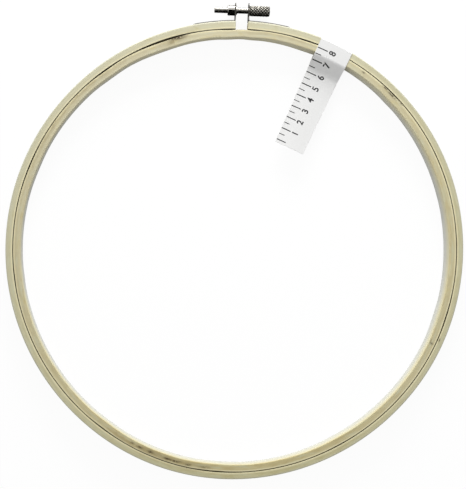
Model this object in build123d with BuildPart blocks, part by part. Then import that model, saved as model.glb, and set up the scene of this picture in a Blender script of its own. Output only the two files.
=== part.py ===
from build123d import *
from math import asin, ceil, cos, degrees, pi, radians, sin, sqrt
import os

# A bamboo embroidery hoop, in millimetres, lying flat with its front face up. Two rings nest in one
# plane. The outer one is split at +Y, where two sheet-metal brackets, a barrel nut and a knurled
# thumb screw along X draw its ends together. A folded paper label wraps both rings.

# Rings
joint_diameter = 355.6  # between the rings, the size that a hoop is sold by
ring_depth = 10.0
inner_ring_wall = 5.6
outer_ring_wall = 5.8
ring_clearance = 0.3  # between the rings, where the cloth goes
ring_edge_bevel = 0.8
split_width = 9.9

# Brackets, the same sheet bent left and right
sheet_thickness = 0.8
strap_length = 34.4  # along the ring's outside
strap_width = 8.0
strap_seat_gap = 0.04
strap_end_round = 2.0
ear_height = 15.4  # above the ring's outside
ear_tip_round = 3.0
bend_radius = 1.2

# Brads that hold each strap
brad_shank_radius = 0.6
brad_length = 5.2  # under the head
brad_tip_length = 1.2
brad_tip_radius = 0.2
brad_head_radius = 1.3
brad_head_height = 0.5
brad_clearance = 0.05
brad_first_place = 12.0  # along the strap from the ear
brad_spacing = 15.0

# Clamp screw
screw_radius = 2.25
screw_axis_height = 9.7  # above the ring's outside
screw_end_reach = 22.4  # from the middle of the split to the free end
screw_end_chamfer = 0.4
screw_clearance = 0.05  # in the nut and in the knob
ear_hole_clearance = 0.2

# Knurled knob on the screw's right end
knob_radius = 4.1
knob_length = 16.2
knob_ear_gap = 0.3
knob_socket_depth = 12.0
knob_socket_end_gap = 0.3
knob_chamfer = 0.7
knurl_starts = 10  # diamonds round the knob
knurl_pitch = 2.3  # from one diamond to the next along the knob
knurl_depth = 0.5
slot_width = 1.1
slot_depth = 2.2
slot_turn = 26.0  # degrees from upright

# Barrel nut, swaged through the left ear
barrel_radius = 3.95
barrel_length = 5.8
barrel_chamfer = 0.4
rivet_neck_radius = 2.8
rivet_flange_radius = 3.25
rivet_flange_thickness = 1.0
rivet_flange_bevel = 0.4
rivet_gap = 0.04  # all round the ear that the nut holds

# Paper label
label_strap_gap = 27.1  # along the rim, from the right strap to the label
label_offset = 5.1  # sideways, from the rings' centre to the label's middle line
label_width = 26.0
label_reach = 91.0  # from its outer fold to the flag's end
label_slope_length = 15.6  # where a leaf leaves the rings for mid depth
label_flag_rise = 3.2  # how far the flag's free end curls up
label_fold_round = 1.0
paper_thickness = 0.2
paper_clearance = 0.1  # between the paper and the bamboo, and between the leaves

overrun = 1.0  # how far a cut runs past what it cuts

# Radii and heights that follow from the sizes above
inner_ring_outer = (joint_diameter - ring_clearance) / 2
inner_ring_inner = inner_ring_outer - inner_ring_wall
outer_ring_inner = (joint_diameter + ring_clearance) / 2
outer_ring_outer = outer_ring_inner + outer_ring_wall
strap_inner = outer_ring_outer + strap_seat_gap
strap_outer = strap_inner + sheet_thickness
ring_back = paper_thickness + paper_clearance
ring_front = ring_back + ring_depth
mid_height = (ring_back + ring_front) / 2

# The origin is under the middle of the whole hoop, ears included, so the rings' centre lies below it
centre_y = -ear_height / 2
axis_y = centre_y + outer_ring_outer + screw_axis_height
tip_y = centre_y + outer_ring_outer + ear_height
ring_axis = Axis((0, centre_y, 0), (0, 0, 1))
screw_axis = Axis((0, axis_y, mid_height), (1, 0, 0))

# Places along the screw, from the middle of the split
ear_inside = split_width / 2
ear_outside = ear_inside + sheet_thickness
barrel_seat = ear_outside + rivet_gap
barrel_end = barrel_seat + barrel_length
knob_start = ear_outside + knob_ear_gap
knob_end = knob_start + knob_length
screw_socket_end = knob_start + knob_socket_depth - knob_socket_end_gap

# Planes that the profiles lie on
section_plane = Plane(origin=(0, centre_y, 0), x_dir=(1, 0, 0), z_dir=(0, -1, 0))
screw_plane = Plane(origin=(0, axis_y, mid_height), x_dir=(1, 0, 0), z_dir=(0, 0, 1))


def across(x):
    """The plane square to the screw at x, with +Y and +Z as its own directions."""
    return Plane(origin=(x, axis_y, mid_height), x_dir=(0, 1, 0), z_dir=(1, 0, 0))


def outward(angle):
    """The direction out from the rings' centre, angle degrees from +Y towards +X."""
    return Vector(sin(radians(angle)), cos(radians(angle)), 0)


def rim_spot(angle, radius):
    """A point at mid depth, at that angle and radius."""
    return Vector(0, centre_y, mid_height) + outward(angle) * radius


def rim_plane(angle, radius):
    """The plane that faces outwards there."""
    return Plane(origin=rim_spot(angle, radius), x_dir=(0, 0, 1), z_dir=outward(angle))


def angle_at(x, radius):
    """Degrees from +Y at which a circle round the rings' centre passes x."""
    return degrees(asin(x / radius))


def strap_angle(place):
    """Degrees from +Y of a place along a strap, counted from its ear."""
    return angle_at(ear_inside, strap_outer) + degrees(place / strap_outer)


brad_angles = [strap_angle(brad_first_place), strap_angle(brad_first_place + brad_spacing)]

# Inner ring: a bevelled section turned once round the rings' axis
with BuildPart() as inner_ring:
    with BuildSketch(section_plane) as section:
        with Locations(((inner_ring_inner + inner_ring_outer) / 2, mid_height)):
            Rectangle(inner_ring_wall, ring_depth)
        chamfer(section.vertices(), ring_edge_bevel)
    revolve(axis=ring_axis)

# Outer ring: the same, split at +Y, with a pilot hole for each brad
with BuildPart() as outer_ring:
    with BuildSketch(section_plane) as section:
        with Locations(((outer_ring_inner + outer_ring_outer) / 2, mid_height)):
            Rectangle(outer_ring_wall, ring_depth)
        chamfer(section.vertices(), ring_edge_bevel)
    revolve(axis=ring_axis)
    with BuildSketch(Plane.XY.offset(ring_back - overrun)):
        with Locations((0, centre_y + outer_ring_outer)):
            Rectangle(split_width, 2 * (outer_ring_wall + overrun))
    extrude(amount=ring_depth + 2 * overrun, mode=Mode.SUBTRACT)
    for angle in brad_angles:
        for side in (-1, 1):
            with BuildSketch(rim_plane(side * angle, strap_outer - brad_length)):
                Circle(brad_shank_radius + brad_clearance)
            extrude(amount=brad_length + overrun, mode=Mode.SUBTRACT)


def bracket(side, hole_radius):
    """One bracket: a strap that follows the ring, bent up into an ear with a hole. side is -1 or 1."""
    strap_end_angle = 90 - side * strap_angle(strap_length)
    heel_y = centre_y + sqrt(strap_inner**2 - ear_inside**2)
    crook_y = centre_y + sqrt(strap_outer**2 - ear_outside**2)
    with BuildPart() as piece:
        with BuildSketch(Plane.XY.offset(mid_height - strap_width / 2)) as profile:
            with BuildLine():
                low, high = [
                    CenterArc(
                        (0, centre_y),
                        radius,
                        strap_end_angle,
                        90 - side * angle_at(ear_inside, radius) - strap_end_angle,
                    )
                    for radius in (strap_inner, strap_outer)
                ]
                Line(low @ 0, high @ 0)
                Line(low @ 1, high @ 1)
            make_face()
            with Locations((side * (ear_inside + ear_outside) / 2, (heel_y + tip_y) / 2)):
                Rectangle(sheet_thickness, tip_y - heel_y)
            heel = profile.vertices().sort_by_distance((side * ear_inside, heel_y, 0))[0]
            fillet(heel, bend_radius + sheet_thickness)
            crook = profile.vertices().sort_by_distance((side * ear_outside, crook_y, 0))[0]
            fillet(crook, bend_radius)
        extrude(amount=strap_width)
        fillet(piece.edges().filter_by(Axis.X).group_by(Axis.Y)[-1], ear_tip_round)
        strap_end = piece.faces().sort_by_distance(rim_spot(90 - strap_end_angle, strap_outer))[0]
        fillet(strap_end.edges().group_by(SortBy.LENGTH)[0], strap_end_round)
        with BuildSketch(across(side * (ear_inside - overrun))):
            Circle(hole_radius)
        extrude(amount=side * (sheet_thickness + 2 * overrun), mode=Mode.SUBTRACT)
        for angle in brad_angles:
            with BuildSketch(rim_plane(side * angle, strap_inner - overrun)):
                Circle(brad_shank_radius + brad_clearance)
            extrude(amount=sheet_thickness + 2 * overrun, mode=Mode.SUBTRACT)
    return piece


left_bracket = bracket(-1, rivet_neck_radius + rivet_gap)
right_bracket = bracket(1, screw_radius + ear_hole_clearance)


def brads(side):
    """The brads of one strap: a domed head, a shank and a point, turned round a line to the centre."""
    crown = (0, brad_head_height)
    rim = (brad_head_radius, 0)
    with BuildPart() as group:
        for angle in brad_angles:
            out = outward(side * angle)
            seat = rim_spot(side * angle, strap_outer + brad_clearance)
            with BuildSketch(Plane(origin=seat, x_dir=(0, 0, 1), z_dir=Vector(0, 0, 1).cross(out))):
                with BuildLine():
                    TangentArc(crown, rim, tangent=(1, 0))
                    Polyline(
                        rim,
                        (brad_shank_radius, 0),
                        (brad_shank_radius, brad_tip_length - brad_length),
                        (brad_tip_radius, -brad_length),
                        (0, -brad_length),
                        crown,
                    )
                make_face()
            revolve(axis=Axis(seat, out))
    return group


left_bracket_brads = brads(-1)
right_bracket_brads = brads(1)

# Barrel nut: a drum outside the left ear, a neck through it and a flange swaged over inside
with BuildPart() as barrel_nut:
    bore_radius = screw_radius + screw_clearance
    flange_seat = ear_inside - rivet_gap
    flange_face = flange_seat - rivet_flange_thickness
    with BuildSketch(screw_plane):
        with BuildLine():
            Polyline(
                (-flange_face, bore_radius),
                (-barrel_end, bore_radius),
                (-barrel_end, barrel_radius - barrel_chamfer),
                (-barrel_end + barrel_chamfer, barrel_radius),
                (-barrel_seat, barrel_radius),
                (-barrel_seat, rivet_neck_radius),
                (-flange_seat, rivet_neck_radius),
                (-flange_seat, rivet_flange_radius),
                (-flange_face - rivet_flange_bevel, rivet_flange_radius),
                (-flange_face, rivet_flange_radius - rivet_flange_bevel),
                close=True,
            )
        make_face()
    revolve(axis=screw_axis)

# Clamp screw: a round rod from its free end on the left to the bottom of the knob's socket
with BuildPart() as clamp_screw:
    with BuildSketch(across(-screw_end_reach)):
        Circle(screw_radius)
    extrude(amount=screw_end_reach + screw_socket_end)
    chamfer(clamp_screw.faces().sort_by(Axis.X)[0].edges(), screw_end_chamfer)


def knurled_bar():
    """A closed bar of four-sided pyramids, in rows that are staggered by half a diamond.

    Row n and column m of a grid round the axis hold a crest where n + m is odd and a groove crossing
    where it is even, so every crest has four crossings round it and four flat facets.
    """
    columns = 2 * knurl_starts
    half_pitch = knurl_pitch / 2
    rows = ceil(knob_length / half_pitch) + 2
    first_x = (knob_start + knob_end - rows * half_pitch) / 2

    def spot(n, m):
        radius = knob_radius if (n + m) % 2 else knob_radius - knurl_depth
        turn = 2 * pi * (m % columns) / columns
        y = axis_y + radius * cos(turn)
        return Vector(first_x + n * half_pitch, y, mid_height + radius * sin(turn))

    facets = [
        Face(Wire.make_polygon([spot(n, m), spot(n, m + dm), spot(n + dn, m)]))
        for n in range(rows + 1)
        for m in range(columns)
        if (n + m) % 2
        for dm in (-1, 1)
        for dn in (-1, 1)
        if 0 <= n + dn <= rows
    ]
    ends = [Face(Wire.make_polygon([spot(n, m) for m in range(columns)])) for n in (0, rows)]
    return Solid(Shell(facets + ends))


# Knurled knob: the bar trimmed to a chamfered blank, with a driver slot and a socket for the screw
with BuildPart() as knurled_knob:
    add(knurled_bar())
    with BuildSketch(screw_plane):
        with BuildLine():
            bevel = knob_chamfer + overrun
            Polyline(
                (knob_start, 0),
                (knob_start, knob_radius - knob_chamfer),
                (knob_start + bevel, knob_radius + overrun),
                (knob_end - bevel, knob_radius + overrun),
                (knob_end, knob_radius - knob_chamfer),
                (knob_end, 0),
                close=True,
            )
        make_face()
    revolve(axis=screw_axis, mode=Mode.INTERSECT)
    with BuildSketch(across(knob_start)):
        Circle(screw_radius + screw_clearance)
    extrude(amount=knob_socket_depth, mode=Mode.SUBTRACT)
    with BuildSketch(across(knob_end - slot_depth)):
        Rectangle(slot_width, 2 * (knob_radius + overrun), rotation=-slot_turn)
    extrude(amount=slot_depth + overrun, mode=Mode.SUBTRACT)

# The label lies along its own line, so its profile is drawn on the upright plane of that line, which
# is turned until the label's near edge is the gap beyond the right strap's end
wrap_inside = outer_ring_outer + paper_clearance
wrap_outside = wrap_inside + paper_thickness
near_edge_turn = strap_angle(strap_length) + degrees(label_strap_gap / wrap_outside)
label_out = outward(near_edge_turn + angle_at(label_width / 2 - label_offset, wrap_outside))
label_side = Vector(label_out.Y, -label_out.X, 0)
label_plane = Plane(
    origin=Vector(0, centre_y, 0) + label_side * label_offset, x_dir=label_out, z_dir=label_side
)
fold_start = wrap_outside - label_fold_round
slope_top = sqrt(inner_ring_inner**2 - (label_offset + label_width / 2) ** 2)
slope_foot = slope_top - label_slope_length
flag_end = wrap_outside - label_reach
front_fold_height = ring_front + paper_clearance + paper_thickness - label_fold_round


def leaf_surface(ring_level, flag_level):
    """Draw one surface of a leaf: flat across the rings, down or up a slope, and along the flag."""
    Polyline((fold_start, ring_level), (slope_top, ring_level), (slope_foot, flag_level))
    flag_middle = ((slope_foot + flag_end) / 2, flag_level + label_flag_rise / 4)
    ThreePointArc((slope_foot, flag_level), flag_middle, (flag_end, flag_level + label_flag_rise))


def leaf_end(flag_level):
    """Draw the end of the flag, up from its lower surface."""
    lower_corner = (flag_end, flag_level + label_flag_rise)
    Line(lower_corner, (lower_corner[0], lower_corner[1] + paper_thickness))


# Front leaf: from the outer fold over both rings, down between the leaves and out along the flag
with BuildPart() as label_front:
    with BuildSketch(label_plane):
        with BuildLine():
            flag_level = mid_height + paper_clearance / 2
            leaf_surface(ring_front + paper_clearance, flag_level)
            leaf_surface(ring_front + paper_clearance + paper_thickness, flag_level + paper_thickness)
            leaf_end(flag_level)
            CenterArc((fold_start, front_fold_height), label_fold_round, 0, 90)
            CenterArc((fold_start, front_fold_height), label_fold_round - paper_thickness, 0, 90)
            Line((wrap_inside, front_fold_height), (wrap_outside, front_fold_height))
        make_face()
    extrude(amount=label_width / 2, both=True)

# Back leaf: the same under the rings, and up round the outer ring's outside to the front leaf
with BuildPart() as label_back:
    with BuildSketch(label_plane):
        with BuildLine():
            flag_level = mid_height - paper_clearance / 2 - paper_thickness
            wall_top = front_fold_height - paper_clearance
            leaf_surface(0, flag_level)
            leaf_surface(paper_thickness, flag_level + paper_thickness)
            leaf_end(flag_level)
            CenterArc((fold_start, label_fold_round), label_fold_round, 270, 90)
            CenterArc((fold_start, label_fold_round), label_fold_round - paper_thickness, 270, 90)
            Polyline(
                (wrap_inside, label_fold_round),
                (wrap_inside, wall_top),
                (wrap_outside, wall_top),
                (wrap_outside, label_fold_round),
            )
        make_face()
    extrude(amount=label_width / 2, both=True)

pieces = {
    "inner_ring": inner_ring,
    "outer_ring": outer_ring,
    "left_bracket": left_bracket,
    "right_bracket": right_bracket,
    "left_bracket_brads": left_bracket_brads,
    "right_bracket_brads": right_bracket_brads,
    "barrel_nut": barrel_nut,
    "clamp_screw": clamp_screw,
    "knurled_knob": knurled_knob,
    "label_front": label_front,
    "label_back": label_back,
}

os.makedirs("parts", exist_ok=True)
for name, piece in pieces.items():
    piece.part.label = name
    export_step(piece.part, f"parts/{name}.step")
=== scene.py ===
# %% [markdown]
# # A bamboo embroidery hoop, dressed for a studio picture
# The hoop is two bamboo rings, one inside the other. The outer one is split, and a clamp of bent
# sheet steel, a barrel nut and a knurled thumb screw draws its ends together over the cloth. The
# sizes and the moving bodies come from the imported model, and this file adds the surfaces: grain,
# plating, a rolled thread, a diamond knurl and a folded paper label. Everything is in metres.

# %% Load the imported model
import math

import bpy
import numpy as np
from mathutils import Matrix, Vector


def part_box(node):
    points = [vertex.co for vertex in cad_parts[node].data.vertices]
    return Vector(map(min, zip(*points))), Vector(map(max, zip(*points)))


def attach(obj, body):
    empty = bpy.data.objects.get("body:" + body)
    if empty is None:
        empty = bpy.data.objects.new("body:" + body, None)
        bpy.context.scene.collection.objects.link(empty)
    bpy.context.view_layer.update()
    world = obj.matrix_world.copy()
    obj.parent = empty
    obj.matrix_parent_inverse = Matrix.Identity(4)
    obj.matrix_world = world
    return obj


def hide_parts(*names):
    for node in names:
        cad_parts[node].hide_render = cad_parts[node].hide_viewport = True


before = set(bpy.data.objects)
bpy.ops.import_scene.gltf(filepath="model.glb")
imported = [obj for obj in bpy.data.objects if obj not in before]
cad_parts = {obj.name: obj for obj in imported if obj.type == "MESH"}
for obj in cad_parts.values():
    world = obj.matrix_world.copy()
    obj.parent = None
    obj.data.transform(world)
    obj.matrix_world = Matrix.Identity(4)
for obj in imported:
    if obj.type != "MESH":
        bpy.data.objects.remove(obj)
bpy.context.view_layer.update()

MM = 0.001

# %% [markdown]
# ## Reading the sizes
# A piece that stands in for a CAD node takes its size from that node's box, so nothing has to be
# fitted by eye. The rings' common centre is the middle of the inner ring's box. A few sizes that
# no box tells, such as the width of a ring's front, are repeated here.

# %% Measure the rings, the screw, the knob and the nut
inner_low, inner_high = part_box("inner_ring")
outer_low, outer_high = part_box("outer_ring")
screw_low, screw_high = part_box("clamp_screw")
knob_low, knob_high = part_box("knurled_knob")
nut_low, nut_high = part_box("barrel_nut")
centre_y = (inner_low.y + inner_high.y) / 2
ring_low, ring_high = inner_low.z, inner_high.z
ring_middle, ring_depth = (ring_low + ring_high) / 2, ring_high - ring_low
inner_outside = (inner_high.x - inner_low.x) / 2
outer_outside = (outer_high.x - outer_low.x) / 2
inner_wall, outer_wall, ring_gap, split_width = 5.6 * MM, 5.8 * MM, 0.3 * MM, 9.9 * MM
joint_radius = inner_outside + ring_gap / 2
axis_y, axis_z = (screw_low.y + screw_high.y) / 2, (screw_low.z + screw_high.z) / 2
screw_radius = (screw_high.z - screw_low.z) / 2
knob_radius = (knob_high.z - knob_low.z) / 2
nut_radius = (nut_high.z - nut_low.z) / 2
print(f"the rings meet at radius {joint_radius / MM:.2f} mm")
print(f"the screw is {2 * screw_radius / MM:.1f} mm thick")

# %% [markdown]
# ## Small helpers
# Colours are written as the hex values of a paint chart and turned to linear light once, here.
# A shader graph is many nodes of many kinds, so one function adds any of them, with its settings
# and its links, and gives back the socket that the next node needs.


# %% Colour and node helpers
def linear(hex_colour):
    """Undo the sRGB curve: c / 12.92 where a channel is low, ((c + 0.055) / 1.055) ^ 2.4 above."""
    channels = np.array([int(hex_colour[i : i + 2], 16) for i in (1, 3, 5)]) / 255
    high = ((channels + 0.055) / 1.055) ** 2.4
    return (*np.where(channels <= 0.04045, channels / 12.92, high).tolist(), 1.0)


def connect(node, links):
    """Give each named or numbered input a value, or a link from another node's socket."""
    for name, value in links.items():
        if isinstance(value, bpy.types.NodeSocket):
            node.id_data.links.new(value, node.inputs[name])
        else:
            node.inputs[name].default_value = value


def add(tree, kind, links=None, output=0, **settings):
    """Add a node with its settings and its links, and return one of its output sockets."""
    node = tree.nodes.new(kind)
    for name, value in settings.items():
        setattr(node, name, value)
    connect(node, links or {})
    return node.outputs[output]


def new_material(name):
    """A material with one Principled shader, and its node tree and shader."""
    material = bpy.data.materials.new(name)
    material.use_nodes = True
    return material, material.node_tree, material.node_tree.nodes["Principled BSDF"]


print(f"middle grey #808080 is {linear('#808080')[0]:.3f} in linear light")

# %% [markdown]
# ## Surfaces from numpy
# A ring or a screw could be extruded and bevelled by hand, but a formula is exact, and a number
# in it is easy to change. So every new piece is a grid of points, worked out as whole arrays and
# handed to Blender once. A closed direction joins its last row to its first. If the quads
# enclose a negative volume they face inwards, and the helper turns them round.


# %% Enclosed volume
def enclosed_volume(points, quads):
    """Sum of the signed tetrahedra between the origin and both halves of each quad."""
    a, b, c, d = (points[quads[:, k]] for k in range(4))
    first = np.einsum("ij,ij->i", a, np.cross(b, c))
    second = np.einsum("ij,ij->i", a, np.cross(c, d))
    return (first + second).sum() / 6


square = np.array([[0, 0, 1], [1, 0, 1], [1, 1, 1], [0, 1, 1]])
pyramid = enclosed_volume(square, np.array([[0, 1, 2, 3]]))
print(f"a pyramid over a unit square encloses {pyramid:.3f}")


# %% Grid to mesh
def grid_object(name, points, uv, close_u=False, close_v=False, capped=False, marks=None):
    """Make a piece from a grid of points: quads between neighbours, and caps at its open ends.

    uv is one row or column larger than points where the grid is closed, so that a pattern can run
    on past the seam. marks holds arrays of one number a point, which are kept as attributes.
    """
    rows, columns = points.shape[:2]
    i, j = np.meshgrid(
        np.arange(rows if close_u else rows - 1),
        np.arange(columns if close_v else columns - 1),
        indexing="ij",
    )
    i, j = i.ravel(), j.ravel()
    corners = [(i, j), (i + 1, j), (i + 1, j + 1), (i, j + 1)]
    quads = np.stack([(a % rows) * columns + b % columns for a, b in corners], axis=1)
    quad_uv = np.stack([uv[a, b] for a, b in corners], axis=1)
    flat = points.reshape(-1, 3)
    first = np.arange(columns)
    caps = [first, (first + (rows - 1) * columns)[::-1]] if capped else []
    if enclosed_volume(flat - flat.mean(axis=0), quads) < 0:
        quads, quad_uv = quads[:, ::-1], quad_uv[:, ::-1]
        caps = [cap[::-1] for cap in caps]
    mesh = bpy.data.meshes.new(name)
    mesh.from_pydata(flat.tolist(), [], quads.tolist() + [cap.tolist() for cap in caps])
    cap_uv = [uv[cap // columns, cap % columns] for cap in caps]
    layer = mesh.uv_layers.new(name="along_and_round")
    layer.data.foreach_set("uv", np.concatenate([quad_uv.reshape(-1, 2), *cap_uv]).ravel())
    mesh.polygons.foreach_set("use_smooth", [True] * len(quads) + [False] * len(caps))
    mesh.polygons.foreach_set("material_index", [0] * len(quads) + [1] * len(caps))
    for label, values in (marks or {}).items():
        mesh.attributes.new(label, "FLOAT", "POINT").data.foreach_set("value", values.ravel())
    piece = bpy.data.objects.new(name, mesh)
    bpy.context.scene.collection.objects.link(piece)
    print(f"{name}: {len(flat)} points, {len(quads)} quads")
    return piece


# %% Materials and body of a piece
def dress(piece, body, node, slot, *materials):
    """Give a piece its materials, set it on a body, and let it stand for a CAD node. slot is not
    used.
    """
    for material in materials:
        piece.data.materials.append(material)
    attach(piece, body)
    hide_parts(node)
    print(f"{piece.name} stands for {node}")


# %% [markdown]
# ## The camera
# The picture was taken from straight above, off to one side, with the hoop turned two degrees. So
# the camera looks down, is rolled by that turn, and is placed from three measures: where the
# rings' centre lies in the frame, how large the joint between the rings is there, and how strong
# the perspective is, which the inner wall's visible width tells. A small lens shift keeps the
# framing while the camera stands off to the side.

# %% Place the camera
photo_width, photo_height = 466, 489
centre_px = np.array([234.5, 250.0])
joint_px, focal_px = 221.9, 678.0
roll = math.radians(1.90)
shift = np.array([0.09, 0.0])
sensor_mm = 36

metres_per_px = joint_radius / joint_px
principal_px = np.array([photo_width / 2, photo_height / 2]) + shift * photo_height * [-1, 1]
right = np.array([math.cos(roll), math.sin(roll)])
up = np.array([-math.sin(roll), math.cos(roll)])
offset = (centre_px - principal_px) * [1, -1] * metres_per_px
stand = np.array([0, centre_y]) - offset[0] * right - offset[1] * up

camera_data = bpy.data.cameras.new("camera")
camera_data.sensor_width = sensor_mm
camera_data.lens = focal_px * sensor_mm / photo_height
camera_data.shift_x, camera_data.shift_y = shift
camera = bpy.data.objects.new("camera", camera_data)
camera.location = (*stand, ring_high + focal_px * metres_per_px)
camera.rotation_euler = (0, 0, roll)
bpy.context.scene.collection.objects.link(camera)
bpy.context.scene.camera = camera
bpy.context.scene.view_settings.view_transform = "Standard"
print(f"camera {camera.location.z / MM:.0f} mm up, lens {camera_data.lens:.1f} mm")

# %% [markdown]
# ## Studio
# Light comes low over the far edge, as it would on a hoop that stands upright under a ceiling
# lamp: walls that face it are pale, walls that face away are dark, and the front is in between.
# The world fills in from the sides. The floor and the world look white to the camera and in
# reflections only, so the white adds no light to the hoop, and the floor keeps a soft shadow.

# %% Lamp
key_size, key_watts = (0.60, 0.30), 12.0
key_place = np.array([0.02, 1.04, 0.27])
key_data = bpy.data.lights.new("key_softbox", "AREA")
key_data.shape = "RECTANGLE"
key_data.size, key_data.size_y = key_size
key_data.energy = key_watts
key = bpy.data.objects.new("key_softbox", key_data)
aim = np.array([0, centre_y, 0]) - key_place
key.location = key_place
key.rotation_euler = (math.atan2(np.hypot(aim[0], aim[1]), -aim[2]), 0, math.atan2(-aim[0], aim[1]))
bpy.context.scene.collection.objects.link(key)
print(f"key lamp at {np.round(key_place, 2)}")

# %% [markdown]
# The world's light is a function of direction: even, with more from the sides and the far side,
# and a little less from straight above. Rays that show the surroundings as they look see plain
# white instead.


# %% World
def seen_rays(tree):
    """1 for rays that show the surroundings as they look: camera, glossy and transmission."""
    path = add(tree, "ShaderNodeLightPath").node.outputs
    first_two = {0: path["Is Camera Ray"], 1: path["Is Glossy Ray"]}
    either = add(tree, "ShaderNodeMath", first_two, operation="MAXIMUM")
    all_three = {0: either, 1: path["Is Transmission Ray"]}
    return add(tree, "ShaderNodeMath", all_three, operation="MAXIMUM")


world = bpy.data.worlds.new("studio")
world.use_nodes = True
bpy.context.scene.world = world
sky = world.node_tree
direction = add(sky, "ShaderNodeTexCoord", output="Generated")
parts = add(sky, "ShaderNodeSeparateXYZ", {0: direction}).node.outputs
even_light = 0.33
strength = even_light
for part, first, last, amount in (
    ("X", 0, 1, 0.42),  # from the right
    ("X", 0, -1, 0.64),  # from the left
    ("Y", 0, 1, 0.40),  # from the far side
    ("Y", 0, -1, 0.16),  # from the near side
    ("Z", 0, 1, -0.17),  # less from straight above
):
    reach = add(sky, "ShaderNodeMapRange", {0: parts[part], 1: first, 2: last})
    more = {0: reach, 1: amount, 2: strength}
    strength = add(sky, "ShaderNodeMath", more, operation="MULTIPLY_ADD")
fill = add(sky, "ShaderNodeBackground", {"Color": linear("#ffffff"), "Strength": strength})
white = add(sky, "ShaderNodeBackground", {"Color": linear("#ffffff"), "Strength": 1.0})
look = add(sky, "ShaderNodeMixShader", {0: seen_rays(sky), 1: fill, 2: white})
connect(sky.nodes["World Output"], {"Surface": look})
print(f"sky of {len(sky.nodes)} nodes, with {even_light} of even light")

# %% Floor
floor_half = 4.0
corner = np.array([-floor_half, floor_half])
floor_points = np.stack([*np.meshgrid(corner, corner, indexing="ij"), np.zeros((2, 2))], axis=2)
floor = grid_object("floor", floor_points, floor_points[..., :2])
floor_paint, paint, principled = new_material("white_paper_sweep")
paint.nodes.remove(principled)
matte = add(paint, "ShaderNodeBsdfDiffuse", {"Color": linear("#e7e7e7")})
shade = add(paint, "ShaderNodeBsdfDiffuse", {"Color": linear("#565656")})
glow = add(paint, "ShaderNodeEmission", {"Color": linear("#ffffff"), "Strength": 0.925})
pale = add(paint, "ShaderNodeAddShader", {0: shade, 1: glow})
shown = add(paint, "ShaderNodeMixShader", {0: seen_rays(paint), 1: matte, 2: pale})
connect(paint.nodes["Material Output"], {"Surface": shown})
floor.data.materials.append(floor_paint)

# %% [markdown]
# Plated steel shows what stands round it, so a photographer sets black cards near it, and they
# give it its dark bands. They are of felt, which has no shine of its own. One hangs over the near
# half of the hoop as an arc about the X axis, one lies on the floor, a grey one lies beyond the
# screw, and a small one stands between the screw and the rim. Only glossy rays see them, and the
# small one is seen from the screw's side only.


# %% Felt for the cards
def felt(name, colour):
    """Cloth with no shine: fully rough, without a mirror part."""
    material, tree, shader = new_material(name)
    connect(shader, {"Base Color": linear(colour), "Roughness": 1.0, "Specular IOR Level": 0.0})
    return material, tree, shader


black_felt, grey_felt = felt("black_felt", "#070707")[0], felt("grey_felt", "#a0a0a0")[0]
one_sided_felt, side_tree, side_shader = felt("black_felt_one_sided", "#070707")
behind = add(side_tree, "ShaderNodeNewGeometry", output="Backfacing")
clear = add(side_tree, "ShaderNodeBsdfTransparent")
either = add(side_tree, "ShaderNodeMixShader", {0: behind, 1: side_shader.outputs[0], 2: clear})
connect(side_tree.nodes["Material Output"], {"Surface": either})
print("felts:", black_felt.name, grey_felt.name, one_sided_felt.name)

# %% Cards
card_radius, card_half, card_lift = 2.4, 3.0, 0.04 * MM
turn, x = np.meshgrid(np.radians(np.linspace(-89, 6, 25)), [-card_half, card_half], indexing="ij")
overhead = np.stack([x, card_radius * np.sin(turn), card_radius * np.cos(turn)], axis=2)


def lying_card(half, near, far):
    """A rectangle just above the floor: from -half to half along X, and from near to far."""
    x, y = np.meshgrid([-half, half], [near, far], indexing="ij")
    return np.stack([x, y, np.full((2, 2), card_lift)], axis=2)


on_floor = lying_card(0.4, -0.7, axis_y - 0.8 * MM)
beyond_screw = lying_card(23 * MM, axis_y + 1.0 * MM, axis_y + 26 * MM)
stand_z, stand_x = np.meshgrid([0.1 * MM, ring_high], [-28 * MM, 28 * MM], indexing="ij")
by_screw = np.stack([stand_x, np.full((2, 2), axis_y - 7 * MM), stand_z], axis=2)
for name, places, cloth in (
    ("black_card_overhead", overhead, black_felt),
    ("black_card_on_floor", on_floor, black_felt),
    ("grey_card_beyond_screw", beyond_screw, grey_felt),
    ("black_card_by_screw", by_screw, one_sided_felt),
):
    card = grid_object(name, places, places[..., :2])
    card.data.materials.append(cloth)
    card.visible_camera = card.visible_diffuse = False
    card.visible_shadow = card.visible_transmission = False
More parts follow.
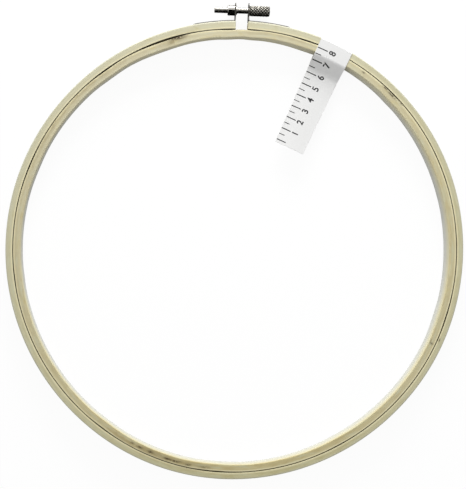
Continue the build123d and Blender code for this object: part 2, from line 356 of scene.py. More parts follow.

# %% [markdown]
# ## Bamboo
# A hoop's strip is split from a bamboo stem and bent on its flat, so its front shows long, fine
# fibres in pale, greenish beige pith. Sanding pales the eased edges, and a painted highlight lies
# on them beside the joint. Handling greys the outer rim, painted shade darkens the joint between
# the rings, steaming leaves brown stains, and painted light makes the side towards the lamp paler.
# Dry bamboo has no varnish here, so it is rough, with a bump of a few hundredths of a millimetre.
# A picture of wood would repeat and blur, so the fibres are noise that is stretched along the
# strip. It follows the bend on a UV map in metres: along the strip, and round its section.


# %% Bamboo material
def bamboo(name, pith, fibre, deep):
    """Fibres 0.35 mm by 25 mm on pith that varies over 120 mm, with the strip's marks on top.

    Real fibres are finer, about 0.15 mm; they are drawn as coarse as they need to show. Each row
    of the table lays a colour over the last one, where a noise lies between two values, and where
    the strip has a mark. Noise is never as low as everywhere's values, so it gives full strength.
    """
    material, tree, shader = new_material(name)
    uv = add(tree, "ShaderNodeUVMap", uv_map="along_and_round")

    def grain(length, width, detail, offset):
        """Noise stretched along the strip: one cell is length by width, in metres."""
        stretch = {"Vector": uv, "Location": (offset, 0, 0), "Scale": (1 / length, 1 / width, 1)}
        place = add(tree, "ShaderNodeMapping", stretch)
        links = {"Vector": place, "Scale": 1.0, "Detail": detail, "Roughness": 0.55}
        return add(tree, "ShaderNodeTexNoise", links, noise_dimensions="2D")

    fine = grain(25 * MM, 0.35 * MM, 3.0, 0.0)
    coarse = grain(60 * MM, 1.6 * MM, 2.0, 3.1)
    broad = grain(120 * MM, 7.0 * MM, 2.0, 7.7)
    blotch = grain(9 * MM, 3.0 * MM, 3.0, 5.2)
    mottle = grain(16 * MM, 2.2 * MM, 3.0, 9.4)
    speck = grain(1.5 * MM, 0.8 * MM, 3.0, 11.3)
    everywhere = (broad, -1.0, -0.5)
    colour = linear(pith)
    for pattern, low, high, over, amount, mark in (
        (fine, 0.38, 0.72, fibre, 1.00, None),
        (coarse, 0.42, 0.70, fibre, 0.80, None),
        (broad, 0.35, 0.70, deep, 0.45, None),
        (blotch, 0.46, 0.66, deep, 0.60, None),
        (mottle, 0.50, 0.70, "#d2d3b2", 0.60, None),
        # painted light: a paler tone on the side towards the lamp
        (blotch, 0.20, 0.45, "#e2dec6", 0.55, "painted_light"),
        (*everywhere, "#cfceba", 0.75, "rim"),
        # pale sanded wood beside the joint, with a painted highlight on it
        (*everywhere, "#f7eec4", 0.90, "sanded_and_painted_highlight"),
        (*everywhere, "#ded9bf", 0.85, "wall"),
        (*everywhere, "#d3d5d2", 0.85, "deep_wall"),
        (blotch, 0.20, 0.55, "#9c8752", 0.60, "tint"),
        (speck, 0.28, 0.48, "#3a260a", 1.00, "stain"),
        # painted shade: dark brown in the joint between the rings
        (*everywhere, "#332402", 1.00, "joint"),
    ):
        reach = {"Value": pattern, "From Min": low, "From Max": high, "To Max": amount}
        share = add(tree, "ShaderNodeMapRange", reach)
        if mark:
            where = add(tree, "ShaderNodeAttribute", output="Fac", attribute_name=mark)
            share = add(tree, "ShaderNodeMath", {0: share, 1: where}, operation="MULTIPLY")
        layers = {0: share, 6: colour, 7: linear(over)}
        colour = add(tree, "ShaderNodeMix", layers, 2, data_type="RGBA")
    rough = add(tree, "ShaderNodeMapRange", {"Value": fine, "To Min": 0.50, "To Max": 0.72})
    bump = add(tree, "ShaderNodeBump", {"Height": fine, "Strength": 0.6, "Distance": 0.04 * MM})
    surface = {"Base Color": colour, "Roughness": rough, "Normal": bump}
    connect(shader, {**surface, "Specular IOR Level": 0.35})
    print(f"{name}: {len(tree.nodes)} nodes")
    return material


inner_bamboo = bamboo("sanded_bamboo_inner", "#e3d9ab", "#cec08c", "#c6b682")
outer_bamboo = bamboo("sanded_bamboo_outer", "#e1dbb4", "#ccc495", "#c4bb89")

# %% [markdown]
# A cut across bamboo shows its fibre bundles end on, as brown dots of about half a millimetre in
# paler pith. Cells of a Voronoi pattern give such dots, and the cut is flat, so the pattern can
# lie in Object coordinates.

# %% End grain material
bundle = 0.6 * MM
end_grain, tree, shader = new_material("sawn_bamboo_end_grain")
place = add(tree, "ShaderNodeTexCoord", output="Object")
packed = {"Vector": place, "Scale": 1 / bundle, "Randomness": 0.9}
cells = add(tree, "ShaderNodeTexVoronoi", packed)
dots = add(tree, "ShaderNodeMapRange", {"Value": cells, "From Min": 0.15, "From Max": 0.45})
sawn = {0: dots, 6: linear("#8d774a"), 7: linear("#d3c9a2")}
face = add(tree, "ShaderNodeMix", sawn, 2, data_type="RGBA")
relief = add(tree, "ShaderNodeBump", {"Height": dots, "Strength": 0.5, "Distance": 0.05 * MM})
connect(shader, {"Base Color": face, "Normal": relief})
connect(shader, {"Roughness": 0.75, "Specular IOR Level": 0.3})
print(f"end grain: a fibre bundle every {bundle / MM:.1f} mm")

# %% [markdown]
# ## The rings' shapes
# A ring is one section, a rectangle with eased corners, carried round a circle. A true circle
# looks machined, though: bent bamboo isn't quite round, and the two rings don't meet evenly. Near
# the scarf of the inner ring the joint opens to a millimetre, and elsewhere it closes to a dark
# hair. So each radius is a smooth function of the angle, built from soft bumps. Angles are in
# degrees from +X, anticlockwise, with the split at 90, and heights are in millimetres.


# %% Bumps, spots and fades
def degrees_from(place, angle):
    """Degrees from a place to each angle, the short way round."""
    return (angle - place + 180) % 360 - 180


def bumps(angle, table):
    """Sum of bell curves: each row is a place and a half-width in degrees, and a height."""
    total = np.zeros_like(angle)
    for place, half_width, height in table:
        total += height * np.exp(-((degrees_from(place, angle) / half_width) ** 2))
    return total


def spots(angle, across, table):
    """The same in two directions: place, place across, both half-widths, and a strength."""
    total = np.zeros_like(angle)
    for place, place_across, half_width, half_across, strength in table:
        away = degrees_from(place, angle) / half_width
        away_across = (across - place_across) / half_across
        total += strength * np.exp(-(away**2) - away_across**2)
    return np.clip(total, 0, 1)


def fade(value, start, end):
    """A straight rise from 0 where the value is start to 1 where it is end, level beyond both."""
    return np.clip((value - start) / (end - start), 0, 1)


print("a bump at its half-width:", bumps(np.array([100.0]), [(90, 10, 1)]).round(2))


# %% Section of a strip
def eased_section(width, depth, inner_ease, outer_ease, steps=(5, 10, 8)):
    """Walk round a rectangle whose corners are quarter circles, from the outer front corner.

    Each corner is its centre plus ease times (cos, sin) over a quarter turn, and straight runs
    join them. steps are a corner's points, and the steps along a front and along a wall.
    Returns the share across (0 inside, 1 outside), the height from the middle, and the length
    walked, which has one more entry.
    """
    corner_points, front_steps, wall_steps = steps
    runs = []
    for side, level, ease, start in (
        (1, 1, outer_ease, 0),
        (-1, 1, inner_ease, 90),
        (-1, -1, inner_ease, 180),
        (1, -1, outer_ease, 270),
    ):
        turn = np.radians(start + np.linspace(0, 90, corner_points))
        middle = np.array([side * (width / 2 - ease), level * (depth / 2 - ease)])
        runs.append(middle + ease * np.stack([np.cos(turn), np.sin(turn)], axis=1))
    line = []
    for run, following, count in zip(runs, runs[1:] + runs[:1], (front_steps, wall_steps) * 2):
        share = np.linspace(0, 1, count + 1)[1:-1, None]
        line += [run, run[-1] * (1 - share) + following[0] * share]
    section = np.concatenate(line)
    step = np.linalg.norm(np.roll(section, -1, axis=0) - section, axis=1)
    return section[:, 0] / width + 0.5, section[:, 1], np.concatenate([[0], np.cumsum(step)])


inner_eases, outer_eases = (0.5 * MM, 0.35 * MM), (0.35 * MM, 0.9 * MM)
girth = eased_section(inner_wall, ring_depth, *inner_eases)[2][-1]
print(f"the inner strip is {girth / MM:.1f} mm round its section")

# %% [markdown]
# The strip's marks are attributes that the bamboo reads: pale sanded lines beside the joint that
# carry a painted highlight, a grey outer rim, a greyer inner wall that is dustier deep down but
# left darker at its top and bottom as painted shade, painted shade in the joint, stains, tints
# and painted light that makes the side towards the lamp paler. They could be painted on by hand,
# but formulas of the place on the strip give the same result each run. Depths are in millimetres
# below the front.


# %% Marks on a strip
def strip_marks(angle, across, height, is_inner, stains, tints):
    """Strength of each mark at each point of the grid, from its angle, share across and height."""
    across = np.broadcast_to(across, angle.shape)
    sunk = np.broadcast_to((ring_depth / 2 - height) / MM, angle.shape)
    to_joint = across if is_inner else 1 - across
    front = fade(sunk, 1.4, 0.4)
    wall = (across < 0.08) * is_inner
    # painted light: paler towards the lamp's side, round 115 degrees, and more round -33 degrees
    painted_light_share = 0.5 + 0.5 * np.cos(np.radians(angle - 115)) + bumps(angle, [(-33, 25, 0.4)])
    # painted shade: the deep wall's pale tone is taken out round the top, which faces away from the
    # lamp, and partly round the bottom, which faces it
    painted_shade_top_and_bottom = bumps(angle, [(90, 45, 1.0), (-80, 50, 0.35)])
    return {
        "stain": spots(angle, across, stains) * front,
        "tint": spots(angle, across, tints) * front,
        "painted_light": painted_light_share * front,
        # a pale sanded line with a painted highlight, most of the way across towards the joint
        "sanded_and_painted_highlight": np.exp(-(((to_joint - 0.87) / 0.09) ** 2)) * front,
        "rim": fade(to_joint, 0.38, 0) * (not is_inner),
        "wall": wall * fade(sunk, 0.2, 1.2),
        # paler deep down, less the painted shade at the top and the bottom
        "deep_wall": wall * fade(sunk, 2.6, 6.6) * (1 - painted_shade_top_and_bottom),
        # painted shade on both faces of the joint, from just below the front to about 2.6 mm down
        "joint": (to_joint > 0.93) * fade(sunk, 0.02, 0.13) * fade(sunk, 2.6, 1.4),
    }


# %% [markdown]
# The ring itself: at each angle the section is stretched between an inner and an outer face. A
# lean lets the inner face slope, because a bent strip twists a little.


# %% Ring surface
def ring(name, degrees, is_inner, inner_face, outer_face, lean, eases, stains, tints):
    """radius = inner + across x (outer - inner) + lean x (1 - across) x depth below the front.

    degrees holds the angle of each row, or of each row and column where the ends are cut square.
    """
    width = float(np.mean(outer_face - inner_face))
    across, height, walked = eased_section(width, ring_depth, *eases)
    below = 0.5 - height / ring_depth
    radius = inner_face[:, None] + across * (outer_face - inner_face)[:, None]
    radius = radius + lean[:, None] * (1 - across) * below
    angle = np.broadcast_to(degrees, radius.shape)
    x = radius * np.cos(np.radians(angle))
    y = radius * np.sin(np.radians(angle)) + centre_y
    points = np.stack([x, y, np.broadcast_to(ring_middle + height, x.shape)], axis=2)
    row_degrees = angle[:, 0]
    if is_inner:
        row_degrees = np.append(row_degrees, row_degrees[0] + 360)
    along = np.radians(row_degrees) * joint_radius
    uv = np.stack(np.meshgrid(along, walked, indexing="ij"), axis=2)
    marks = strip_marks(angle, across, height, is_inner, stains, tints)
    return grid_object(
        name, points, uv, close_u=is_inner, close_v=True, capped=not is_inner, marks=marks
    )


# %% [markdown]
# The tables say where both strips sway, where the outer rim sways in its own way, where the joint
# opens, where the inner strip is thicker than elsewhere, most of all at its scarf a little left
# of the split, and where it leans.

# %% Out of round
rows_round, seam_degrees, split_degrees, least_opening = 1200, 108, 90, 0.06
sway = [
    (37, 30, 0.60), (-53, 22, -0.42), (-100, 20, 0.60), (98, 24, -0.40), (150, 25, -0.10),
    (87, 13, -0.42), (109, 7, 0.22), (-22, 24, 0.22),
]
rim_sway = [
    (30, 28, 0.35), (-5, 20, -0.42), (-48, 26, -0.68), (-106, 22, 0.50), (-165, 22, 0.05),
    (142, 18, -0.28), (68, 8, 0.45),
]
openings = [
    (111, 6.5, 1.00), (127.5, 4, 0.55), (93.4, 2.2, 0.46), (87, 1.8, 0.34), (73, 4, 0.52),
    (46, 2, 0.30), (-16, 4, 0.36), (-60, 4, 0.20), (-93, 5, 0.36), (159, 5, 0.36),
    (-171, 2, 0.20), (-125, 3, 0.26), (-115, 4, -0.10), (-130, 3, -0.10), (13, 5, -0.10),
]
thicker = [(102, 19, -0.70), (32, 22, -0.34), (152, 24, -0.26)]
leans = [(5, 38, -1.15), (102, 22, 1.15), (-85, 22, 0.65), (90, 9, 0.30), (152, 24, 0.34)]
all_round = np.linspace(0, 359, 360)
print(f"the strips sway by up to {np.abs(bumps(all_round, sway)).max():.2f} mm")

# %% Inner ring
inner_degrees = seam_degrees + np.arange(rows_round) * 360 / rows_round
opening = bumps(inner_degrees, openings) + least_opening
outside = inner_outside + (bumps(inner_degrees, sway) - opening) * MM
inner_stains = [
    (107.2, 0.92, 2.4, 0.14, 1.0), (106.3, 0.74, 1.5, 0.14, 0.7), (109.0, 0.50, 0.9, 0.20, 0.2),
    (46.5, 0.82, 1.7, 0.13, 1.0), (49.0, 0.86, 0.8, 0.10, 0.9), (43.1, 0.90, 0.6, 0.08, 0.8),
    (55.9, 0.62, 0.40, 0.11, 1.0), (-23.5, 0.48, 0.22, 0.24, 1.0), (-22.9, 0.22, 0.45, 0.06, 0.8),
    (-106.0, 0.58, 1.1, 0.14, 1.0), (-103.9, 0.60, 0.9, 0.13, 1.0), (-100.3, 0.64, 0.8, 0.16, 0.9),
    (-110.7, 0.52, 0.7, 0.20, 1.0), (-113.8, 0.50, 0.8, 0.14, 0.9), (-116.0, 0.45, 0.6, 0.12, 0.8),
    (-102.6, 0.45, 0.8, 0.11, 0.5), (-96.0, 0.62, 1.4, 0.22, 0.45),
]
inner_tints = [
    (-106, 0.60, 10, 0.45, 0.9), (-118, 0.60, 8, 0.50, 0.6), (108, 0.65, 3.5, 0.35, 0.9),
    (140, 0.72, 26, 0.33, 0.8), (80, 0.72, 12, 0.33, 0.5), (-165, 0.72, 25, 0.33, 0.25),
]
inner_ring = ring(
    "inner_ring_bamboo",
    inner_degrees[:, None],
    is_inner=True,
    inner_face=outside - inner_wall + bumps(inner_degrees, thicker) * MM,
    outer_face=outside,
    lean=bumps(inner_degrees, leans) * MM,
    eases=inner_eases,
    stains=inner_stains,
    tints=inner_tints,
)
dress(inner_ring, "inner_ring", "inner_ring", "bamboo_inner", inner_bamboo)

# %% [markdown]
# The outer ring is open. Its ends are sawn square to the split, so the angle of its first and last
# rows depends on the radius, asin(half the split / radius), and the rows between share it out.

# %% Outer ring
run = np.linspace(0, 1, rows_round + 1)
outer_degrees = split_degrees + 360 * run
outer_across = eased_section(outer_wall, ring_depth, *outer_eases)[0]
end_radius = outer_outside - outer_wall + outer_across * outer_wall
end_turn = np.degrees(np.arcsin(split_width / 2 / end_radius))
outer_ring = ring(
    "outer_ring_bamboo",
    split_degrees + end_turn + run[:, None] * (360 - 2 * end_turn),
    is_inner=False,
    inner_face=outer_outside - outer_wall + bumps(outer_degrees, sway) * MM,
    outer_face=outer_outside + bumps(outer_degrees, rim_sway) * MM,
    lean=np.zeros_like(run),
    eases=outer_eases,
    stains=[(-21.9, 0.24, 0.45, 0.09, 1.0), (-100, 0.10, 3.0, 0.05, 0.4)],
    tints=[(-105, 0.15, 12, 0.20, 0.35), (104, 0.15, 4, 0.15, 0.4)],
)
dress(outer_ring, "outer_ring_and_clamp", "outer_ring", "bamboo_outer", outer_bamboo, end_grain)

# %% [markdown]
# ## Nickel-plated steel
# The brackets, pins, nut, screw and knob are steel with a thin bright nickel plate, a metal with a
# warm grey tint. Rolled sheet is slightly dull from its rolls and turned parts are near mirrors,
# and handling dulls all of them in patches of a few millimetres. Plating has no direction, so
# plain noise in Object coordinates gives those marks. The base colour is darker in grooves, which
# a "groove" attribute places, and on the sheared edges of the sheet than on its faces.


# %% Film on sheared edges
strap_half, ear_foot = 4.0 * MM, axis_y - 6 * MM


def sheared_edges(tree, place, edge_darkness):
    """Strength of the darkening on the sheet's cut edges.

    On the straps it rises to its full strength at strap_half above and below the rings' middle.
    On the ears, which lie beyond ear_foot, it is half as much again where the surface faces away
    from the X axis.
    """
    where = add(tree, "ShaderNodeSeparateXYZ", {0: place}).node.outputs
    off_middle = add(tree, "ShaderNodeMath", {0: where["Z"], 1: ring_middle}, operation="SUBTRACT")
    distance = add(tree, "ShaderNodeMath", {0: off_middle}, operation="ABSOLUTE")
    start, end = strap_half - 0.10 * MM, strap_half - 0.03 * MM
    reach = {"Value": distance, "From Min": start, "From Max": end, "To Max": edge_darkness}
    on_strap = add(tree, "ShaderNodeMapRange", reach)
    facing = add(tree, "ShaderNodeTexCoord", output="Normal")
    along_x = add(tree, "ShaderNodeSeparateXYZ", {0: facing})
    flat = add(tree, "ShaderNodeMath", {0: along_x}, operation="ABSOLUTE")
    stronger = min(1.5 * edge_darkness, 1.0)
    reach = {"Value": flat, "From Min": 0.6, "From Max": 0.4, "To Max": stronger}
    edge_on = add(tree, "ShaderNodeMapRange", reach)
    on_ear = add(tree, "ShaderNodeMath", {0: where["Y"], 1: ear_foot}, operation="GREATER_THAN")
    on_tip = add(tree, "ShaderNodeMath", {0: edge_on, 1: on_ear}, operation="MULTIPLY")
    return add(tree, "ShaderNodeMath", {0: on_strap, 1: on_tip}, operation="MAXIMUM")


print(f"straps {2 * strap_half / MM:.0f} mm high, ears from y {ear_foot / MM:.1f} mm")


# %% Plated steel material
def plated_steel(name, colour, smooth, dull, mark_width, edge_darkness=0.0):
    """Metal whose roughness runs from smooth to dull, with marks mark_width metres across.

    The last argument sets how dark the sheared edges are; the groove attribute marks other dark
    places.
    """
    material, tree, shader = new_material(name)
    place = add(tree, "ShaderNodeTexCoord", output="Object")
    fine = {"Vector": place, "Scale": 1 / mark_width, "Detail": 4.0, "Roughness": 0.6}
    marks = add(tree, "ShaderNodeTexNoise", fine)
    handled = {"Vector": place, "Scale": 1 / (4 * MM), "Detail": 2.0}
    patches = add(tree, "ShaderNodeTexNoise", handled)
    both = add(tree, "ShaderNodeMath", {0: marks, 1: patches}, operation="MULTIPLY")
    dulled = {"Value": both, "From Min": 0.12, "From Max": 0.40, "To Min": smooth, "To Max": dull}
    rough = add(tree, "ShaderNodeMapRange", dulled)
    plate = {0: patches, 6: linear(colour), 7: linear("#b9b6ae")}
    tone = add(tree, "ShaderNodeMix", plate, 2, data_type="RGBA")
    groove = add(tree, "ShaderNodeAttribute", output="Fac", attribute_name="groove")
    edges = sheared_edges(tree, place, edge_darkness)
    covered = add(tree, "ShaderNodeMath", {0: groove, 1: edges}, operation="MAXIMUM")
    # the base colour darkens to near black in grooves and on the sheet's cut edges
    dark_mix = {0: covered, 6: tone, 7: linear("#1f1c17")}
    darkened_tone = add(tree, "ShaderNodeMix", dark_mix, 2, data_type="RGBA")
    bump = add(tree, "ShaderNodeBump", {"Height": marks, "Strength": 0.2, "Distance": 0.006 * MM})
    connect(shader, {"Base Color": darkened_tone, "Metallic": 1.0, "Roughness": rough, "Normal": bump})
    print(f"{name}: {len(tree.nodes)} nodes")
    return material


bent_steel = plated_steel("nickel_plated_sheet", "#e3e1db", 0.16, 0.34, 0.25 * MM, edge_darkness=0.62)
pin_steel = plated_steel("nickel_plated_pins", "#cfccc6", 0.22, 0.42, 0.20 * MM)
nut_steel = plated_steel("turned_nickel_plated_nut", "#dad8d2", 0.08, 0.20, 0.30 * MM)
rod_steel = plated_steel("rolled_nickel_plated_rod", "#d8d6d0", 0.08, 0.20, 0.20 * MM)
knob_steel = plated_steel("knurled_nickel_plated_knob", "#fbf6ea", 0.29, 0.38, 0.25 * MM)

# %% [markdown]
# ## Carried-over nodes
# The brackets and their pins already have their real shapes, so they stay as they are and only
# get their metal.

# %% Put metal on the CAD nodes
for node_name, steel in (
    ("left_bracket", bent_steel),
    ("right_bracket", bent_steel),
    ("left_bracket_brads", pin_steel),
    ("right_bracket_brads", pin_steel),
):
    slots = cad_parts[node_name].data.materials
    slots.clear()
    slots.append(steel)
    print("plated:", node_name)

# %% [markdown]
# ## Turned parts
# A turned part is a line of corners, (place along the axis, radius), carried round the screw's
# axis. A lathe tool and the plating leave every corner eased. A Bevel modifier would ease them
# all alike, but some runs are too short for that, so each corner is cut back by what its runs
# allow and joined by a parabola.


# %% Lathe helpers
def eased_line(corners, ease, steps=5):
    """Cut back each inner corner by ease, or a third of its shorter run, and blend it.

    The blend is a parabola: (1 - t)^2 a + 2 t (1 - t) b + t^2 c, from a before to c after corner b.
    """
    corners = np.array(corners)
    share = np.linspace(0, 1, steps)[:, None]
    line = [corners[:1]]
    for before, corner, after in zip(corners[:-2], corners[1:-1], corners[2:]):
        back, on = before - corner, after - corner
        cut = min(ease, np.linalg.norm(back) / 3, np.linalg.norm(on) / 3)
        start = corner + back / np.linalg.norm(back) * cut
        end = corner + on / np.linalg.norm(on) * cut
        line.append((1 - share) ** 2 * start + 2 * share * (1 - share) * corner + share**2 * end)
    return np.concatenate([*line, corners[-1:]])


def full_turn(steps):
    """Angles of a full turn in equal steps, without the last, which is the first again."""
    return np.arange(steps) * 2 * np.pi / steps


def around_screw(x, radius, turn):
    """Points round the screw's axis: (x, axis + radius cos turn, axis + radius sin turn)."""
    x, radius, turn = np.broadcast_arrays(x, radius, turn)
    y, z = axis_y + radius * np.cos(turn), axis_z + radius * np.sin(turn)
    return np.stack([x, y, z], axis=2)


def lathe_uv(line, turns, middle_radius=3 * MM):
    """Distance walked along the line, and distance round it at a middle radius, in metres."""
    step = np.linalg.norm(np.diff(line, axis=0), axis=1)
    walked = np.concatenate([[0], np.cumsum(step)])
    walked = np.append(walked, walked[-1])
    around = np.append(turns, 2 * np.pi) * middle_radius
    return np.stack(np.meshgrid(walked, around, indexing="ij"), axis=2)


print(f"the screw's axis is at y {axis_y / MM:.1f}, z {axis_z / MM:.1f} mm")

# %% Barrel nut
nut_turn = full_turn(72)
bore, neck, flange = screw_radius + 0.05 * MM, 2.8 * MM, 3.25 * MM
nut_left, nut_right = nut_low.x, nut_high.x
shoulder, flange_left, lip = nut_left + 5.8 * MM, nut_right - 1.0 * MM, 0.4 * MM
bore_shown, nut_ease = 2.5 * MM, 0.18 * MM
nut_corners = [
    (nut_left + bore_shown, bore), (nut_left, bore), (nut_left, nut_radius - lip),
    (nut_left + lip, nut_radius), (shoulder, nut_radius), (shoulder, neck), (flange_left, neck),
    (flange_left, flange), (nut_right - lip, flange), (nut_right, flange - lip), (nut_right, bore),
    (nut_right - bore_shown, bore),
]
nut_line = eased_line(nut_corners, nut_ease)
nut = grid_object(
    "swaged_barrel_nut",
    around_screw(nut_line[:, :1], nut_line[:, 1:], nut_turn[None, :]),
    lathe_uv(nut_line, nut_turn),
    close_u=True,
    close_v=True,
)
dress(nut, "outer_ring_and_clamp", "barrel_nut", "turned_nut", nut_steel)

# %% [markdown]
# ## The screw
# A rolled thread is a ridge that climbs 0.75 mm a turn. A profile turned by a Screw modifier would
# need its turns merged, and a grid closes by itself. On a grid of turn and length, the radius is a
# triangle wave of (length / pitch - turn), with wide flat crests, as a worn and plated thread
# has. The tip is bevelled by letting the radius fall towards the end.

# %% Threaded rod
# the last value darkens the base colour in the thread's grooves
pitch, thread_depth, tip_bevel, thread_groove_dark = 0.75 * MM, 0.22 * MM, 0.5 * MM, 0.7
rod_turn = full_turn(32)[None, :]
rod_x = np.linspace(screw_low.x, screw_high.x, 560)[:, None]
wave = np.abs(((rod_x - screw_low.x) / pitch - rod_turn / (2 * np.pi)) % 1 - 0.5) * 2
cut = fade(wave, 0.58, 0.94)
cone = screw_radius - tip_bevel + np.minimum(rod_x - screw_low.x, tip_bevel)
rod_radius = np.minimum(screw_radius - thread_depth * cut, cone)
rod_around = np.append(rod_turn[0], 2 * np.pi) * screw_radius
screw = grid_object(
    "threaded_screw",
    around_screw(rod_x, rod_radius, rod_turn),
    np.stack(np.meshgrid(rod_x[:, 0], rod_around, indexing="ij"), axis=2),
    close_v=True,
    capped=True,
    marks={"groove": cut * thread_groove_dark},
)
dress(screw, "clamp_screw", "clamp_screw", "rolled_screw", rod_steel, rod_steel)

# %% [markdown]
# ## The knurled knob
# A diamond knurl is pressed by two wheels, whose grooves climb opposite ways. Cutting it with
# booleans is slow and leaves thin stray faces, so the radius is worked out. With ten grooves a
# turn each way, the phases p and q are turn x 10 / 2 pi plus and minus length / lead, and the
# radius falls by the deeper of the two grooves. A power of 1.8 rounds the diamonds between them.
# The slot for a screwdriver is cut across the outer end: there, a point keeps its place round the
# axis and moves in along it.

# %% Outline of the knob
knob_left, knob_right = knob_low.x, knob_high.x
chamfer, socket, pole = 0.7 * MM, screw_radius + 0.05 * MM, 0.02 * MM
inner_end, side, outer_end = 4, 170, 34
face_edge = knob_radius - chamfer
knob_line = np.concatenate(
    [
        np.linspace([knob_left, socket], [knob_left, face_edge], inner_end),
        np.linspace([knob_left, knob_radius], [knob_right, knob_radius], side),
        np.linspace([knob_right, face_edge], [knob_right, pole], outer_end),
    ]
)
print(f"knob {(knob_right - knob_left) / MM:.1f} mm long, {2 * knob_radius / MM:.1f} mm thick")

# %% Knurled knob
knurl_starts, knurl_lead, knurl_depth, rounding = 10, 2.3 * MM, 0.60 * MM, 1.8
slot_width, slot_depth, slot_lean = 1.1 * MM, 2.2 * MM, math.radians(26)
# how much darker the base colour is on the knob's ends and in its slot
end_dark, slot_dark = 0.1, 0.7
knob_turn = full_turn(180)
knob_x = np.broadcast_to(knob_line[:, :1], (len(knob_line), len(knob_turn)))
phase = knob_turn[None, :] * knurl_starts / (2 * np.pi)
climb = (knob_x - knob_left) / knurl_lead
pressed = np.maximum(
    *[(2 * np.abs((phase + way * climb) % 1 - 0.5)) ** rounding for way in (1, -1)]
)
cones = np.minimum(knob_x - knob_left, knob_right - knob_x) + face_edge
on_side = np.broadcast_to(knob_line[:, 1:] == knob_radius, knob_x.shape)
knurled = np.minimum(knob_radius - knurl_depth * pressed, cones)
knob_r = np.where(on_side, knurled, knob_line[:, 1:])
across_slot = np.cos(knob_turn) * math.cos(slot_lean) - np.sin(knob_turn) * math.sin(slot_lean)
in_slot = np.abs(knob_r * across_slot) < slot_width / 2
knob_x = np.where(in_slot, np.minimum(knob_x, knob_right - slot_depth), knob_x)
# darker base colour between the diamonds, on the ends and in the slot
groove_dark = np.where(on_side, fade(pressed, 0.28, 0.42), end_dark) + slot_dark * in_slot * ~on_side
knob = grid_object(
    "diamond_knurled_knob",
    around_screw(knob_x, knob_r, knob_turn[None, :]),
    lathe_uv(knob_line, knob_turn),
    close_v=True,
    marks={"groove": np.clip(groove_dark, 0, 1)},
)
dress(knob, "knurled_knob", "knurled_knob", "knurled_steel", knob_steel)

# %% [markdown]
# ## The paper label
# The label is one strip of coated paper, folded round both rings at the outer rim, with its two
# ends glued to each other inside the hoop. It is two leaves here, so that the rings can come
# apart. A cloth simulation could bend it, but paper this stiff lies where it is folded, so each
# leaf is a path in an upright plane, carried sideways across the strip's width: flat over the
# bamboo, down a slope to mid depth, and out along a flag whose end curls up. The strip narrows a
# little towards its end and its fold follows the round rim. Solidify gives the paper its
# thickness.

# %% The label's line and heights
label_turn = math.radians(66.88)
label_out = np.array([math.cos(label_turn), math.sin(label_turn)])
label_side = np.array([label_out[1], -label_out[0]])
label_offset, paper, air = 5.1 * MM, 0.2 * MM, 0.1 * MM
leaf_thickness = 0.9 * paper
front_low, front_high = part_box("label_front")
rim = outer_outside + air + paper / 2
flag_end, slope_foot, slope_top = rim + paper / 2 - 91 * MM, 155.5 * MM, 171.1 * MM
flag_curl, fold = 3.1 * MM, 0.9 * MM
end_half_width, fold_half_width = 12.3 * MM, 13.8 * MM
print(f"label front leaf from {front_low.z / MM:.2f} to {front_high.z / MM:.2f} mm up")


# %% The path of a leaf
def s_curve(t):
    """3 t^2 - 2 t^3: from 0 to 1, level at both ends."""
    return t * t * (3 - 2 * t)


def leaf_level(along, ring_level, flag_level):
    """Height along the strip: a curled flag, an S-curve up the slope, and a flat run on the rings.

    The curl is a parabola from the slope's foot to the flag's end. The S-curve's t is share^1.3,
    which makes it steepest a little above its middle, as in paper that is pulled over.
    """
    curl = flag_curl * fade(along, slope_foot, flag_end) ** 2
    t = fade(along, slope_foot, slope_top) ** 1.3
    return flag_level + curl + (ring_level - flag_level) * s_curve(t)


def ripple(along, across):
    """Waves of 0.10 mm across the strip and 0.15 mm along it, which fade out at the slope."""
    across_wave = 0.10 * MM * np.cos(across * np.pi)
    along_wave = 0.15 * MM * np.sin(along / (17 * MM))
    return fade(along, slope_foot, flag_end) * (across_wave + along_wave)


def on_leaf(along, across, level):
    """Put points of the flat strip on the bent one: along and across it in metres, and a height.

    across runs from -1 to 1 over a width that grows from the end to the fold, and near the fold
    the strip is drawn in by R - sqrt(R^2 - sideways^2), so that its edge follows the rim.
    """
    wider = (fold_half_width - end_half_width) * fade(along, flag_end, rim)
    sideways = label_offset + across * (end_half_width + wider)
    drop = rim - np.sqrt(rim**2 - sideways**2)
    reach = along - drop * s_curve(fade(along, slope_foot, rim))
    x = label_out[0] * reach + label_side[0] * sideways
    y = label_out[1] * reach + label_side[1] * sideways + centre_y
    return np.stack([x, y, np.broadcast_to(level, x.shape)], axis=-1)


print(f"the label's flag is {(slope_foot - flag_end) / MM:.1f} mm long")


# %% A leaf
def leaf(name, along, level):
    """Carry a path across the width, with rows close to both edges that keep the edges crisp."""
    across = np.concatenate([[-1, -0.992], np.linspace(-0.97, 0.97, 27), [0.992, 1]])
    along, across = np.meshgrid(along, across, indexing="ij")
    uv = np.stack([along - flag_end, (across + 1) * end_half_width], axis=2)
    piece = grid_object(name, on_leaf(along, across, level[:, None] + ripple(along, across)), uv)
    thick = piece.modifiers.new("paper_thickness", "SOLIDIFY")
    thick.thickness = leaf_thickness
    thick.offset = 0.0
    return piece


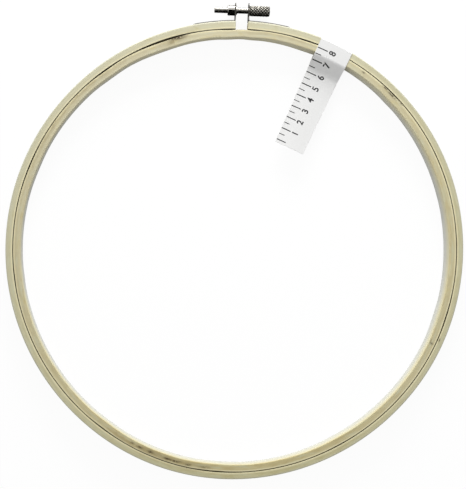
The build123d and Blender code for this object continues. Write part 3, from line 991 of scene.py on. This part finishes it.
front_ring_level, front_flag_level = ring_high + air + paper / 2, ring_middle + (air + paper) / 2
back_ring_level, back_flag_level = paper / 2, ring_middle - air / 2
end_row, flat_rows, bend_rows, wall_rows = 0.1 * MM, 260, 8, 12
flat_along = np.linspace(flag_end + end_row, rim - fold, flat_rows)
flat_along = np.append(flag_end, flat_along)
turn = np.radians(np.linspace(0, 90, bend_rows)[1:])
bend_along, bend_rise = rim - fold + fold * np.sin(turn), fold - fold * np.cos(turn)
front_flat = leaf_level(flat_along, front_ring_level, front_flag_level)
front_level = np.append(front_flat, front_ring_level - bend_rise)
back_flat = leaf_level(flat_along, back_ring_level, back_flag_level)
back_bend = back_ring_level + bend_rise
wall_level = np.linspace(back_bend[-1], front_level[-1] - air, wall_rows)[1:]
back_along = np.concatenate([flat_along, bend_along, np.full(len(wall_level), rim)])
front_leaf = leaf("label_front_leaf", np.append(flat_along, bend_along), front_level)
back_leaf = leaf("label_back_leaf", back_along, np.concatenate([back_flat, back_bend, wall_level]))

# %% [markdown]
# ## Coated paper
# The strip is white paper with a satin coat over faint fibres, and it cockles slightly over some
# 12 mm where the glue has drawn it. The coat is what keeps the ink crisp and the white bright.
# Both patterns are noise on the strip's own map, so they bend with it.

# %% Paper material
coated_paper, tree, shader = new_material("coated_white_paper")
uv = add(tree, "ShaderNodeUVMap", uv_map="along_and_round")
fibres = add(tree, "ShaderNodeTexNoise", {"Vector": uv, "Scale": 1 / (0.5 * MM), "Detail": 4.0})
waves = add(tree, "ShaderNodeTexNoise", {"Vector": uv, "Scale": 1 / (12 * MM), "Detail": 1.0})
pulp = {0: fibres, 6: linear("#f7f7f6"), 7: linear("#f0f0ef")}
stock = add(tree, "ShaderNodeMix", pulp, 2, data_type="RGBA")
cockle = add(tree, "ShaderNodeBump", {"Height": waves, "Strength": 0.35, "Distance": 0.2 * MM})
connect(shader, {"Base Color": stock, "Roughness": 0.38, "Normal": cockle})
dress(front_leaf, "inner_ring", "label_front", "coated_paper", coated_paper)
dress(back_leaf, "outer_ring_and_clamp", "label_back", "coated_paper", coated_paper)

# %% [markdown]
# ## A printed ruler
# The front carries something plain and useful to a stitcher: a ruler, with a line each half and
# each whole centimetre, and the centimetres numbered. Numbers can't be drawn by a pattern in the
# paper's material, so each mark is a thin patch that follows the strip, a few hundredths of a
# millimetre above it.

# %% Ink material
ink, tree, shader = new_material("black_printing_ink")
uv = add(tree, "ShaderNodeUVMap", uv_map="along_and_round")
mottle = add(tree, "ShaderNodeTexNoise", {"Vector": uv, "Scale": 1 / (0.4 * MM), "Detail": 3.0})
inked = {0: mottle, 6: linear("#161618"), 7: linear("#242427")}
tone = add(tree, "ShaderNodeMix", inked, 2, data_type="RGBA")
connect(shader, {"Base Color": tone, "Roughness": 0.45})
print(f"{ink.name}: {len(tree.nodes)} nodes")


# %% Ruler lines
def printed(name, along, across, faces):
    """Lay flat shapes on the front leaf: along and across in metres from the end and left edge."""
    on_path, share = flag_end + along, across / end_half_width - 1
    level = leaf_level(on_path, front_ring_level, front_flag_level) + ripple(on_path, share)
    points = on_leaf(on_path, share, level + leaf_thickness / 2 + ink_lift)
    mesh = bpy.data.meshes.new(name)
    mesh.from_pydata(points.tolist(), [], faces)
    flat = np.array(sum([list(face) for face in faces], []))
    layer = mesh.uv_layers.new(name="along_and_round")
    layer.data.foreach_set("uv", np.stack([along, across], axis=1)[flat].ravel())
    piece = bpy.data.objects.new(name, mesh)
    bpy.context.scene.collection.objects.link(piece)
    mesh.materials.append(ink)
    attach(piece, "inner_ring")
    print(f"{name}: {len(faces)} faces")
    return piece


ink_lift, ruler_start, centimetres = 0.03 * MM, 2.6 * MM, 8
whole_mark, half_mark, tick_margin, columns = (7.8, 0.80), (4.6, 0.60), 0.3 * MM, 4
tick_rows = []
for millimetre in range(0, 10 * centimetres + 1, 5):
    length, thick = whole_mark if millimetre % 10 == 0 else half_mark
    tick_rows.append([ruler_start / MM + millimetre, thick / 2, length])
tick_place, tick_half, tick_length = (np.array(tick_rows) * MM).T[:, :, None, None]
tick_along = tick_place + tick_half * np.array([-1, 1])[None, :, None]
tick_across = tick_margin + tick_length * np.linspace(0, 1, columns)[None, None, :]
tick_along, tick_across = np.broadcast_arrays(tick_along, tick_across)
starts = [2 * columns * k + step for k in range(len(tick_rows)) for step in range(columns - 1)]
tick_faces = [(s, s + 1, s + 1 + columns, s + columns) for s in starts]
printed("ruler_lines", tick_along.ravel(), tick_across.ravel(), tick_faces)

# %% [markdown]
# The digits are text objects, made meshes before they are placed. A digit's own x and y become
# the way along the strip and the way across it.

# %% Ruler digits
digit_height, digit_base, boldness = 7.0 * MM, 14.2 * MM, 0.022
for number in range(1, centimetres + 1):
    glyph = bpy.data.curves.new(f"digit_{number}", "FONT")
    glyph.body = str(number)
    glyph.align_x = "CENTER"
    glyph.resolution_u = 4
    glyph.offset = boldness
    holder = bpy.data.objects.new(f"digit_{number}_outline", glyph)
    bpy.context.scene.collection.objects.link(holder)
    bpy.context.view_layer.update()
    flat_mesh = bpy.data.meshes.new_from_object(holder)
    xy = np.empty(len(flat_mesh.vertices) * 3)
    flat_mesh.vertices.foreach_get("co", xy)
    xy = xy.reshape(-1, 3)[:, :2] * digit_height
    faces = [tuple(polygon.vertices) for polygon in flat_mesh.polygons]
    bpy.data.objects.remove(holder)
    bpy.data.curves.remove(glyph)
    bpy.data.meshes.remove(flat_mesh)
    place = ruler_start + number * 10 * MM
    printed(f"ruler_digit_{number}", place + xy[:, 0], digit_base - xy[:, 1], faces)
